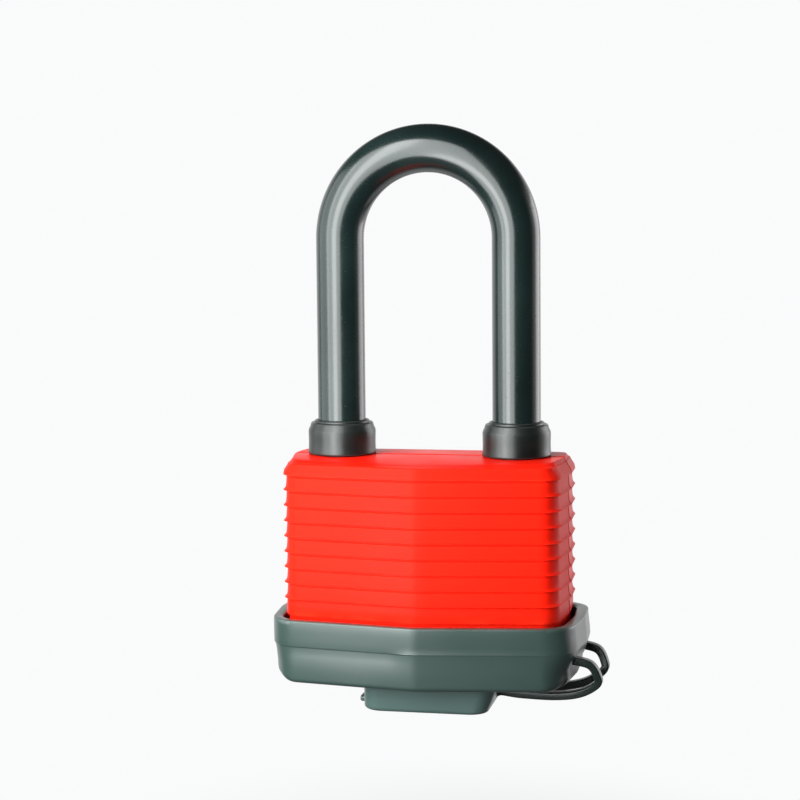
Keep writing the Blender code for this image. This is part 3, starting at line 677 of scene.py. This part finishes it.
def bumper_profile(end_share, step_share, swell):
    """(height, offset) up the boot's outside, over its rim and down to its floor."""
    foot_radius = 0.9 + 1.5 * end_share
    front = 1.0 - end_share
    low_wall = 1.46 + 0.50 * front
    foot_offset = low_wall - 0.05 - foot_radius
    profile = [(COVER_HEIGHT, foot_offset - 1.4), (COVER_HEIGHT, foot_offset - 0.9)]
    profile.append((COVER_HEIGHT + 0.02, foot_offset - 0.15))
    for step in range(1, 11):
        angle = math.radians(90.0 * step / 10)
        rise = foot_radius * (1 - math.cos(angle))
        profile.append((COVER_HEIGHT + rise, foot_offset + foot_radius * math.sin(angle)))
    step_z = BUMPER_TOP - 4.9
    proud = 0.20 * step_share
    profile += [
        (COVER_HEIGHT + 3.6, low_wall),
        (COVER_HEIGHT + 5.2, low_wall + 0.14 * end_share - 0.07 * front * step_share + swell),
        (step_z - 0.22, 2.02 - proud + swell),
        (step_z - 0.10, 2.03 - proud + swell),
        (step_z - 0.02, 2.05 - proud * 0.65 + swell),
        (step_z + 0.05, 2.07 - proud * 0.15 + swell),
        (step_z + 0.16, 2.08 - 0.03 * front + swell),
        (step_z + 1.4, 2.10 + swell * 0.9),
        (step_z + 2.9, 2.11 + 0.03 * front + swell * 0.65),
        (BUMPER_TOP - 0.9, 2.11 + 0.06 * front + swell * 0.5),
        (BUMPER_TOP - 0.24, 2.10 + 0.05 * front + swell * 0.5),
        (BUMPER_TOP - 0.10, 2.05 + swell * 0.5),
        (BUMPER_TOP - 0.03, 1.97 + swell * 0.5),
        (BUMPER_TOP, 1.86 + swell * 0.5),
        (BUMPER_TOP, 0.80),
        (BUMPER_TOP - 0.08, 0.52),
        (BUMPER_TOP - 0.30, 0.32),
        (BUMPER_FLOOR_TOP + 0.5, 0.30),
        (BUMPER_FLOOR_TOP, -0.2),
    ]
    return profile


def make_bumper():
    """The moulded boot: a rounded foot, a shallow step line, a proud rim and the keyway opening."""
    rows = full_outline(0.35)
    sections = []
    for x, y, nx, ny, end_share in rows:
        step_share = 1.0 - smooth_step(x, -5.0, 0.5)
        swell = END_SWELL * end_share if x > 0.0 else 0.0
        profile = bumper_profile(end_share, step_share, swell)
        sections.append([(x + nx * offset, y + ny * offset, z) for z, offset in profile])
    rings = [list(ring) for ring in zip(*sections)]
    bumper = loft("bumper_boot", rings, BUMPER, sharp_angle=32.0)
    opening = [
        (0.0, 3.0),
        (OPENING_MOUTH, 3.0),
        (OPENING_MOUTH, COVER_HEIGHT),
        (6.85, COVER_HEIGHT + 0.22),
        (6.70, COVER_HEIGHT + 0.45),
        (OPENING_RADIUS, COVER_HEIGHT + 0.7),
        (OPENING_RADIUS, 10.0),
        (0.0, 10.0),
    ]
    carve(bumper, turned("keyway_opening", opening, (0.0, 0.0)))
    shade(bumper, 32.0)
    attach(bumper, "lock_case")
    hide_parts("base_bumper")


COVER_LEFT = -11.2
COVER_RIGHT = 14.4
COVER_HALF_DEPTH = 10.4
COVER_FOOT_RADIUS = 0.9
NIB_NEAR, NIB_FAR = -5.6, 1.6
NIB_BOTTOM, NIB_TOP = 0.7, 1.9
NIB_RINGS = ((-1.5, 0.0), (0.9, 0.0), (1.18, 0.12), (1.3, 0.4))  # (reach past the cover, inset)


def cover_ring(height, left, right, depth, radius):
    """The cover's outline at one height, drawn in on the left, on the right and on both sides."""
    near, far = -COVER_HALF_DEPTH + depth, COVER_HALF_DEPTH - depth
    outline = rounded_rectangle(COVER_LEFT + left, COVER_RIGHT - right, near, far, radius, 12)
    return [(x, y, height) for x, y in outline]


def make_cover():
    """A block with a soft foot, a raked right end, a lift nib and a plug for the opening."""
    top = COVER_HEIGHT - GAP
    rings = []
    for step in range(8):
        angle = math.radians(90.0 * step / 7)
        height = COVER_FOOT_RADIUS * (1 - math.cos(angle))
        inset = COVER_FOOT_RADIUS * (1 - math.sin(angle))
        rings.append(cover_ring(height, inset, 1.9 + inset, 0.36 + inset, 3.0))
    rings += [
        cover_ring(2.2, 0.0, 1.3, 0.26, 3.1),
        cover_ring(3.4, 0.0, 0.85, 0.16, 3.1),
        cover_ring(4.5, 0.0, 0.4, 0.06, 3.2),
        cover_ring(top - 0.16, 0.0, 0.12, 0.0, 3.2),
        cover_ring(top - 0.04, 0.05, 0.14, 0.05, 3.2),
        cover_ring(top, 0.18, 0.26, 0.18, 3.2),
    ]
    cover = loft("keyway_cover_cap", rings, COVER_WITH_PAINTED_LIGHT, sharp_angle=32.0)
    plug = [
        (0.0, top - 1.0),
        (4.6, top - 1.0),
        (4.6, COVER_HEIGHT + 1.3),
        (4.5, COVER_HEIGHT + 1.5),
        (4.3, COVER_HEIGHT + 1.6),
        (0.0, COVER_HEIGHT + 1.6),
    ]
    carve(cover, turned("cover_plug", plug, (0.0, 0.0)), "UNION")
    nib_rings = []
    for reach, inset in NIB_RINGS:
        near, far = NIB_NEAR + inset, NIB_FAR - inset
        bottom, height = NIB_BOTTOM + inset, NIB_TOP - inset
        outline = rounded_rectangle(near, far, bottom, height, 0.45 - inset * 0.5, 4)
        nib_rings.append([(COVER_LEFT - reach, y, z) for y, z in outline])
    carve(cover, loft("cover_nib", nib_rings), "UNION")
    shade(cover, 32.0)
    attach(cover, "keyway_cover")
    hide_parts("keyway_cover")


STRAP_PATH = (
    (13.6, 3.3, 3.55),
    (15.6, 3.4, 3.25),
    (18.5, 3.5, 3.0),
    (24.6, 3.8, 3.0),
    (29.2, 4.6, 3.9),
    (32.4, 5.7, 6.0),
    (32.4, 6.2, 7.8),
    (31.2, 6.6, 9.7),
    (28.7, 6.8, 10.4),
    (27.4, 6.8, 10.4),
)
STRAP_STEPS = 9
FLARED_SHARE = 0.07  # of the strap's length, at each end


def strap_section(share):
    """A flat band with rounded edges, flared where it grows out of the cover and the bumper."""
    start_flare = max(0.0, 1.0 - share / FLARED_SHARE)
    end_flare = max(0.0, (share - (1.0 - FLARED_SHARE)) / FLARED_SHARE)
    flare = start_flare ** 2 + end_flare ** 2
    width = 1.1 + 0.55 * flare
    thick = 0.72 + 0.40 * flare
    return rounded_rectangle(-width, width, -thick, thick, 0.3, 4)


def make_strap(name, node, side):
    path = smooth_path([Vector((x, side * y, z)) for x, y, z in STRAP_PATH], STRAP_STEPS)
    strap = sweep(name, path, strap_section, STRAP)
    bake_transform(strap)
    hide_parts(node)


# ---------------------------------------- shackle, collars and springs


def circle_section(centre, radius, right, up, sides=72):
    points = []
    for step in range(sides):
        angle = 2 * math.pi * step / sides
        across, upwards = radius * math.cos(angle), radius * math.sin(angle)
        points.append(tuple(centre + right * across + up * upwards))
    return points


END_TAPER = ((0.0, 3.7), (0.1, 3.95), (0.5, 4.3), (0.9, 4.45))  # (distance from the end, radius)
BOW_STEPS = 72
LEG_STEPS = 24


def make_shackle():
    """The bar bent into a U, with turned-in ends, the heel groove and both latch notches."""
    across = Vector((0.0, 1.0, 0.0))
    groove_low, groove_high = NOTCH[0] - LIFT, NOTCH[1] - LIFT
    core = ROD_RADIUS - NOTCH_DEPTH
    leg_top = BOW_CENTRE_Z - 0.6
    heel = [(HEEL_END_Z + distance, radius) for distance, radius in END_TAPER]
    heel += [
        (HEEL_END_Z + 1.3, ROD_RADIUS),
        (groove_low - 0.25, ROD_RADIUS),
        (groove_low, ROD_RADIUS - 0.25),
        (groove_low + 0.05, core + 0.3),
        (groove_low + 0.4, core),
        (groove_high - 0.4, core),
        (groove_high - 0.05, core + 0.3),
        (groove_high, ROD_RADIUS - 0.25),
        (groove_high + 0.25, ROD_RADIUS),
    ]
    heel += [(z, ROD_RADIUS) for z in np.linspace(groove_high + 1.0, leg_top, LEG_STEPS)]
    sections = []
    side = Vector((-1.0, 0.0, 0.0))
    for z, radius in heel:
        sections.append(circle_section(Vector((-LEG_X, 0.0, z)), radius, side, across))
    for step in range(BOW_STEPS + 1):
        angle = math.pi * (1 - step / BOW_STEPS)
        outwards = Vector((math.cos(angle), 0.0, math.sin(angle)))
        centre = Vector((0.0, 0.0, BOW_CENTRE_Z)) + outwards * LEG_X
        sections.append(circle_section(centre, ROD_RADIUS, outwards, across))
    toe = [(z, ROD_RADIUS) for z in np.linspace(leg_top, TOE_END_Z + 1.4, LEG_STEPS)]
    toe += [(TOE_END_Z + distance, radius) for distance, radius in reversed(END_TAPER)]
    side = Vector((1.0, 0.0, 0.0))
    for z, radius in toe:
        sections.append(circle_section(Vector((LEG_X, 0.0, z)), radius, side, across))
    shackle = loft("shackle_bar", sections, SHACKLE, sharp_angle=30.0)
    inner_face = LEG_X - ROD_RADIUS
    for direction in (-1, 1):
        ends = (direction * (inner_face - 2.0), direction * (inner_face + NOTCH_DEPTH))
        carve(shackle, box("notch", (min(ends), -8.0, NOTCH[0]), (max(ends), 8.0, NOTCH[1])))
    shade(shackle, 30.0)
    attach(shackle, "shackle")
    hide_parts("shackle")


def make_collar(name, node, x):
    """A rubber seal: a neck in the jacket, a chamfered flange and a thin lip that wipes the leg."""
    bore = ROD_RADIUS + 0.12
    profile = [
        (bore + 0.18, 45.6),
        (bore + 0.18, 53.0),
        (bore, 53.45),
        (bore + 0.06, 53.64),
        (bore + 0.20, 53.70),
        (bore + 0.42, 53.66),
        (bore + 0.56, 53.50),
        (bore + 0.62, 53.24),
        (bore + 0.80, 53.16),
        (bore + 0.98, 53.24),
        (bore + 1.14, 53.18),
        (bore + 1.28, 52.98),
        (6.02, 52.50),
        (6.26, 52.02),
        (6.34, 51.78),
        (6.37, 51.50),
        (6.35, 50.6),
        (6.33, 49.4),
        (6.36, 48.2),
        (6.44, 47.7),
        (6.45, 47.50),
        (6.41, 47.36),
        (6.28, 47.30),
        (5.3, 47.30),
        (5.3, 45.6),
    ]
    collar = turned(name, profile, (x, 0.0), COLLAR, sides=128, sharp_angle=50.0)
    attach(collar, "lock_case")
    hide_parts(node)


CLOSED_PITCH = 2.15  # of a closed turn, in wire radii
COIL_SIDES = 12


def coil(name, radius, wire, start, end, turns, closed_turns, centre, along_x=False, steps=26):
    """A compression spring whose end turns lie closed, along Z or along X."""
    count = int(turns * steps)
    path = []
    pitch_free = (end - start) - 2 * closed_turns * wire * CLOSED_PITCH
    for index in range(count + 1):
        turn = turns * index / count
        if turn < closed_turns:
            rise = turn * wire * CLOSED_PITCH
        elif turn > turns - closed_turns:
            rise = (end - start) - (turns - turn) * wire * CLOSED_PITCH
        else:
            share = (turn - closed_turns) / (turns - 2 * closed_turns)
            rise = closed_turns * wire * CLOSED_PITCH + share * pitch_free
        angle = 2 * math.pi * turn
        first, second = radius * math.cos(angle), radius * math.sin(angle)
        if along_x:
            path.append(Vector((start + rise, centre[0] + first, centre[1] + second)))
        else:
            path.append(Vector((centre[0] + first, centre[1] + second, start + rise)))
    axis = Vector((1.0, 0.0, 0.0)) if along_x else Vector((0.0, 0.0, 1.0))
    sections = []
    for index, spot in enumerate(path):
        along = (path[min(index + 1, count)] - path[max(index - 1, 0)]).normalized()
        right = along.cross(axis).normalized()
        sections.append(circle_section(spot, wire, right, right.cross(along), COIL_SIDES))
    return loft(name, sections, SPRING, sharp_angle=60.0)


def make_springs():
    low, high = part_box("shackle_spring")
    bottom, top = (low.z - GROUND) / MM, (high.z - GROUND) / MM
    wire = 0.45
    low_end, high_end = bottom + wire, top - wire
    spring = coil("shackle_coil", 3.4, wire, low_end, high_end, 3.0, 0.5, (-LEG_X, 0.0), steps=40)
    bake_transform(spring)
    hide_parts("shackle_spring")
    wire = 0.18
    for number, height in enumerate(PIN_HEIGHTS, 1):
        node = f"pin_spring_{number}"
        low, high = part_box(node)
        near, far = low.x / MM + wire, high.x / MM - wire
        name = f"pin_coil_{number}"
        piece = coil(name, 0.95, wire, near, far, 5.0, 0.6, (0.0, height), along_x=True)
        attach(piece, "lock_case")
        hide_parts(node)


# ---------------------------------------- lock cylinder and fixings


CLIP_GROOVE = (28.2, 29.6)
CLIP_GROOVE_RADIUS = 4.4
KEYWAY = (
    (-3.4, -0.9), (-1.9, -0.9), (-1.5, -0.45), (-0.5, -0.45), (-0.1, -0.9), (1.2, -0.9),
    (1.6, -0.5), (3.2, -0.5), (3.2, 0.5), (2.0, 0.9), (0.7, 0.9), (0.3, 0.5), (-0.7, 0.5),
    (-1.1, 0.9), (-3.4, 0.9),
)


def make_plug():
    """The plug: a chamfered face, a warded keyway, pin holes, the clip groove and the cam slot."""
    low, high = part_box("cylinder_plug")
    bottom, top = (low.z - GROUND) / MM, (high.z - GROUND) / MM
    profile = [
        (0.0, bottom),
        (PLUG_RADIUS - 0.35, bottom),
        (PLUG_RADIUS - 0.12, bottom + 0.10),
        (PLUG_RADIUS, bottom + 0.35),
        (PLUG_RADIUS, CLIP_GROOVE[0]),
        (CLIP_GROOVE_RADIUS, CLIP_GROOVE[0]),
        (CLIP_GROOVE_RADIUS, CLIP_GROOVE[1]),
        (PLUG_RADIUS, CLIP_GROOVE[1]),
        (PLUG_RADIUS, top - 0.25),
        (PLUG_RADIUS - 0.25, top),
        (0.0, top),
    ]
    plug = turned("plug_core", profile, (0.0, 0.0), BRASS, sides=120, sharp_angle=30.0)
    keyway_ends = (bottom - 2.0, PIN_HEIGHTS[-1] + 2.4)
    carve(plug, loft("keyway", [[(x, y, z) for x, y in KEYWAY] for z in keyway_ends]))
    deep = PLUG_RADIUS + 1.6
    hole = [(0.0, 0.0), (PIN_HOLE_RADIUS, 0.0), (PIN_HOLE_RADIUS, deep), (0.0, deep)]
    for height in PIN_HEIGHTS:
        carve(plug, turned_along_x("pin_hole", hole, (0.4, 0.0, height)))
    carve(plug, box("cam_slot", (-7.0, -1.1, top - 1.3), (7.0, 1.1, top + 2.0)))
    shade(plug, 30.0)
    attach(plug, "plug")
    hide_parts("cylinder_plug")


def make_pins():
    """Turned key pins with coned tips, and spool-waisted driver pins."""
    for number, height in enumerate(PIN_HEIGHTS, 1):
        low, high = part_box(f"plug_pin_{number}")
        tip, end = low.x / MM, high.x / MM
        length = end - tip
        profile = [(0.0, 0.0), (0.42, 0.0), (0.56, 0.08), (1.16, 0.72), (PIN_RADIUS, 0.86)]
        profile += [(PIN_RADIUS, length - 0.14), (1.14, length - 0.04), (1.02, length)]
        profile += [(0.0, length)]
        pin = turned_along_x(f"key_pin_{number}", profile, (tip, 0.0, height), BRASS)
        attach(pin, f"plug_pin_{number}")
        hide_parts(f"plug_pin_{number}")
        low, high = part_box(f"driver_pin_{number}")
        start, length = low.x / MM, (high.x - low.x) / MM
        profile = [(0.0, 0.0), (1.05, 0.0), (1.16, 0.05), (PIN_RADIUS, 0.16), (PIN_RADIUS, 0.55)]
        profile += [(0.92, 0.80), (0.92, length - 0.95), (PIN_RADIUS, length - 0.70)]
        profile += [(PIN_RADIUS, length - 0.14), (1.08, length), (0.0, length)]
        driver = turned_along_x(f"driver_spool_{number}", profile, (start, 0.0, height), STEEL)
        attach(driver, "lock_case")
        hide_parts(f"driver_pin_{number}")


def make_rivets():
    """Plain rivets with a small turned-over edge at each end."""
    for number in range(1, 5):
        low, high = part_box(f"body_rivet_{number}")
        middle = (low + high) / 2
        bottom, top = (low.z - GROUND) / MM, (high.z - GROUND) / MM
        profile = [(0.0, bottom), (0.9, bottom), (1.3, bottom + 0.10), (1.46, bottom + 0.28)]
        profile += [(RIVET_RADIUS, bottom + 0.5), (RIVET_RADIUS, top - 0.5), (1.46, top - 0.28)]
        profile += [(1.3, top - 0.10), (0.9, top), (0.0, top)]
        rivet = turned(f"rivet_{number}", profile, (middle.x / MM, middle.y / MM), STEEL, sides=48)
        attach(rivet, "lock_case")
        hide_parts(f"body_rivet_{number}")


SLOT_MATERIALS = {
    "jacket": JACKET,
    "bumper": BUMPER,
    "shackle": SHACKLE,
    "collar": COLLAR,
    "plate": PLATE,
    "steel": STEEL,
    "spring": SPRING,
    "brass": BRASS,
}


EDGE_BREAK = 0.08


def dress_cad_nodes():
    """Gives the carried-over nodes their finished materials and lightly broken edges."""
    slots = {row["node"]: row["material_slot"] for row in frame["record"]["subparts"]}
    for name, node in frame["nodes"].items():
        material = SLOT_MATERIALS[slots[name]]
        node.data.materials.clear()
        node.data.materials.append(material)
        shade(node, 30.0)
        if not node.hide_render:
            bevel = node.modifiers.new("broken_edge", "BEVEL")
            bevel.width = EDGE_BREAK * MM
            bevel.segments = 2
            bevel.limit_method = "ANGLE"
            bevel.angle_limit = math.radians(50.0)
            bevel.harden_normals = False


# ---------------------------------------- stage


SURROUND = (0.955, 0.96, 0.965)
FLOOR_RADIUS = 0.2  # metres, as all distances of the stage
FLOOR_DROP = 0.038  # the floor lies below the reach of the open cover
FLOOR_SIDES = 96


def make_floor():
    """A pale floor, well below the lock, that fades into the surround and is clear from beneath.

    The camera sees it pale, with a soft shadow. Every other ray meets a dim floor with a glow to
    the rear.
    """
    material = bpy.data.materials.new("pale_floor")
    material.use_nodes = True
    tree = material.node_tree
    nodes = Nodes(tree)
    tree.nodes.remove(tree.nodes["Principled BSDF"])
    where = nodes.add("ShaderNodeTexCoord", out=3)
    distance = nodes.add("ShaderNodeVectorMath", out=1, settings={"operation": "LENGTH"}, i0=where)
    grain = nodes.spread(nodes.noise(where, 60.0, detail=3.0), 0.3, 0.7, 0.0, 1.0)
    colour = nodes.blend(grain, (0.58, 0.58, 0.585), (0.60, 0.60, 0.605))
    matt = nodes.add("ShaderNodeBsdfDiffuse", Color=colour)
    glow = nodes.add("ShaderNodeEmission", Color=(*SURROUND, 1.0), Strength=1.0)
    fade = nodes.spread(distance, 0.02, 0.10, 0.74, 1.0, smooth=True)
    pale = nodes.add("ShaderNodeMixShader", i0=fade, i1=matt, i2=glow)
    dim = nodes.add("ShaderNodeBsdfDiffuse", Color=(0.10, 0.10, 0.10, 1.0))
    behind = nodes.add("ShaderNodeSeparateXYZ", out=1, i0=where)
    rear_glow = nodes.spread(behind, 0.03, 0.07, 0.0, 0.9, smooth=True)
    bounce = nodes.add("ShaderNodeMixShader", i0=rear_glow, i1=dim, i2=glow)
    seen = nodes.add("ShaderNodeLightPath", out=0)
    above = nodes.add("ShaderNodeMixShader", i0=seen, i1=bounce, i2=pale)
    beneath = nodes.add("ShaderNodeNewGeometry", out=6)
    clear = nodes.add("ShaderNodeBsdfTransparent")
    surface = nodes.add("ShaderNodeMixShader", i0=beneath, i1=above, i2=clear)
    tree.links.new(surface, tree.nodes["Material Output"].inputs["Surface"])
    mesh = bpy.data.meshes.new("floor")
    turns = [2 * math.pi * step / FLOOR_SIDES for step in range(FLOOR_SIDES)]
    rim = [(FLOOR_RADIUS * math.cos(turn), FLOOR_RADIUS * math.sin(turn), 0.0) for turn in turns]
    mesh.from_pydata(rim, [], [tuple(range(FLOOR_SIDES))])
    mesh.materials.append(material)
    floor = bpy.data.objects.new("floor", mesh)
    floor.location = (0.0, 0.0, GROUND - FLOOR_DROP)
    bpy.context.scene.collection.objects.link(floor)


def make_world():
    """A bright band round the horizon behind the lock, and a dim room elsewhere.

    The camera itself sees an even, pale surround.
    """
    world = bpy.data.worlds.new("studio")
    bpy.context.scene.world = world
    world.use_nodes = True
    tree = world.node_tree
    nodes = Nodes(tree)
    where = nodes.add("ShaderNodeTexCoord", out=0)
    settings = {"operation": "DOT_PRODUCT"}
    rear = (0.10, 1.0, 0.0)
    toward = nodes.add("ShaderNodeVectorMath", out=1, settings=settings, i0=where, i1=rear)
    band = nodes.spread(toward, -0.05, 0.45, 0.04, 1.05, smooth=True)
    height = nodes.add("ShaderNodeSeparateXYZ", out=2, i0=where)
    away = nodes.spread(nodes.math("ABSOLUTE", height), 0.28, 0.55, 0.0, 1.0, smooth=True)
    level = nodes.blend(away, band, (0.06, 0.06, 0.06))
    seen = nodes.add("ShaderNodeLightPath", out=0)
    colour = nodes.blend(seen, level, SURROUND)
    background = tree.nodes["Background"]
    tree.links.new(colour, background.inputs["Color"])
    background.inputs["Strength"].default_value = 1.0


WHITE = (1.0, 1.0, 1.0)
COOL = (0.94, 1.0, 0.985)
SOFTBOXES = (  # (name, centre, aim, width, height, radiance, colour)
    ("key_box", (-52.0, -108.0, 97.0), (0.0, 0.0, 81.0), 150.0, 192.0, 6.0, COOL),
    ("core_strip", (-42.0, -96.0, 90.0), (0.0, 0.0, 76.0), 34.0, 180.0, 6.0, WHITE),
    ("left_box", (-230.0, -70.0, 120.0), (0.0, 0.0, 90.0), 240.0, 240.0, 2.2, COOL),
    ("right_rear_box", (250.0, 200.0, 95.0), (0.0, 0.0, 50.0), 190.0, 190.0, 2.6, WHITE),
)


def softbox(name, centre, look_at, width, height, radiance, colour):
    """A rectangular light, hidden from the camera itself."""
    light = bpy.data.lights.new(name, "AREA")
    light.shape = "RECTANGLE"
    light.size = width * MM
    light.size_y = height * MM
    light.energy = radiance * math.pi * width * height * MM * MM
    light.color = colour
    item = bpy.data.objects.new(name, light)
    item.location = place(*centre)
    aim = place(*look_at) - item.location
    item.rotation_mode = "QUATERNION"
    item.rotation_quaternion = aim.to_track_quat("-Z", "Y")
    item.visible_camera = False
    bpy.context.scene.collection.objects.link(item)


CAMERA_PLACE = (70.88, -359.69, 92.44)
CAMERA_ANGLES = (11.98, -5.44, -0.5)  # yaw, pitch and roll in degrees
FOCAL_LENGTH = 88.34


def make_camera():
    """A long lens a little to the right of the front and slightly above the top of the body."""
    yaw, pitch, roll = (math.radians(angle) for angle in CAMERA_ANGLES)
    flat = math.cos(pitch)
    forward = Vector((-math.sin(yaw) * flat, math.cos(yaw) * flat, math.sin(pitch)))
    level_right = Vector((math.cos(yaw), math.sin(yaw), 0.0))
    level_up = level_right.cross(forward)
    right = level_right * math.cos(roll) + level_up * math.sin(roll)
    up = level_up * math.cos(roll) - level_right * math.sin(roll)
    data = bpy.data.cameras.new("camera")
    data.lens = FOCAL_LENGTH
    data.sensor_width = 36.0
    data.clip_start = 0.01
    camera = bpy.data.objects.new("camera", data)
    axes = Matrix((right, up, -forward)).transposed().to_4x4()
    camera.matrix_world = Matrix.Translation(place(*CAMERA_PLACE)) @ axes
    bpy.context.scene.collection.objects.link(camera)
    bpy.context.scene.camera = camera


make_jacket_shell("front_jacket_shell", "front_jacket", -1)
make_jacket_shell("rear_jacket_shell", "rear_jacket", 1)
make_bumper()
make_cover()
make_strap("strap_band_front", "cover_strap_front", -1)
make_strap("strap_band_rear", "cover_strap_rear", 1)
make_shackle()
make_collar("collar_seal_left", "shackle_collar_left", -LEG_X)
make_collar("collar_seal_right", "shackle_collar_right", LEG_X)
make_springs()
make_plug()
make_pins()
make_rivets()
dress_cad_nodes()
make_floor()
make_world()
for row in SOFTBOXES:
    softbox(*row)
make_camera()
bpy.context.scene.view_settings.view_transform = "Standard"
